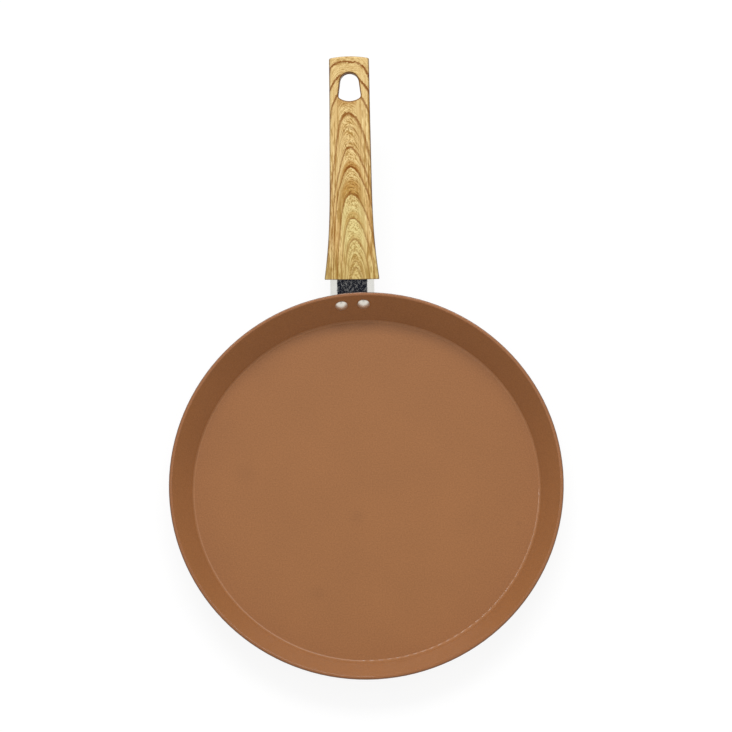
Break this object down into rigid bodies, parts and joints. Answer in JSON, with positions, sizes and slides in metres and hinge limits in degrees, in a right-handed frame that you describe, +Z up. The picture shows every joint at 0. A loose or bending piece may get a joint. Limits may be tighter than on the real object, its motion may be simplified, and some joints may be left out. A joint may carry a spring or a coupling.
{
  "type": "crepe pan",
  "caption": "Shallow round crepe pan with a low flared wall, and a riveted, screwed-on long handle that has a steel sleeve at its neck and a bell-shaped hanging hole.",
  "frame": {"origin": "centre of the underside, on the surface that the pan stands on", "axes": "+Y towards the end of the handle, +Z up, +X to the right of someone looking along the handle from the pan"},
  "size_m": [0.28, 0.4474, 0.0749],
  "materials": {
    "coated_aluminium": "satin copper-coloured non-stick coating",
    "disc_steel": "turned",
    "cast_aluminium": "as cast, satin",
    "rivet_aluminium": "satin",
    "polished_steel": "polished",
    "wood_effect_phenolic": "satin lacquer over a wood-grain print",
    "plated_steel": "zinc plated"
  },
  "bodies": {
    "root": {"pan_body": "coated_aluminium", "induction_disc": "disc_steel", "handle_bracket": "cast_aluminium", "rivet_left": "rivet_aluminium", "rivet_right": "rivet_aluminium", "flame_guard": "polished_steel", "handle_grip": "wood_effect_phenolic", "handle_screw": "plated_steel", "flat_washer": "plated_steel", "lock_washer": "plated_steel"}
  },
  "joints": []
}
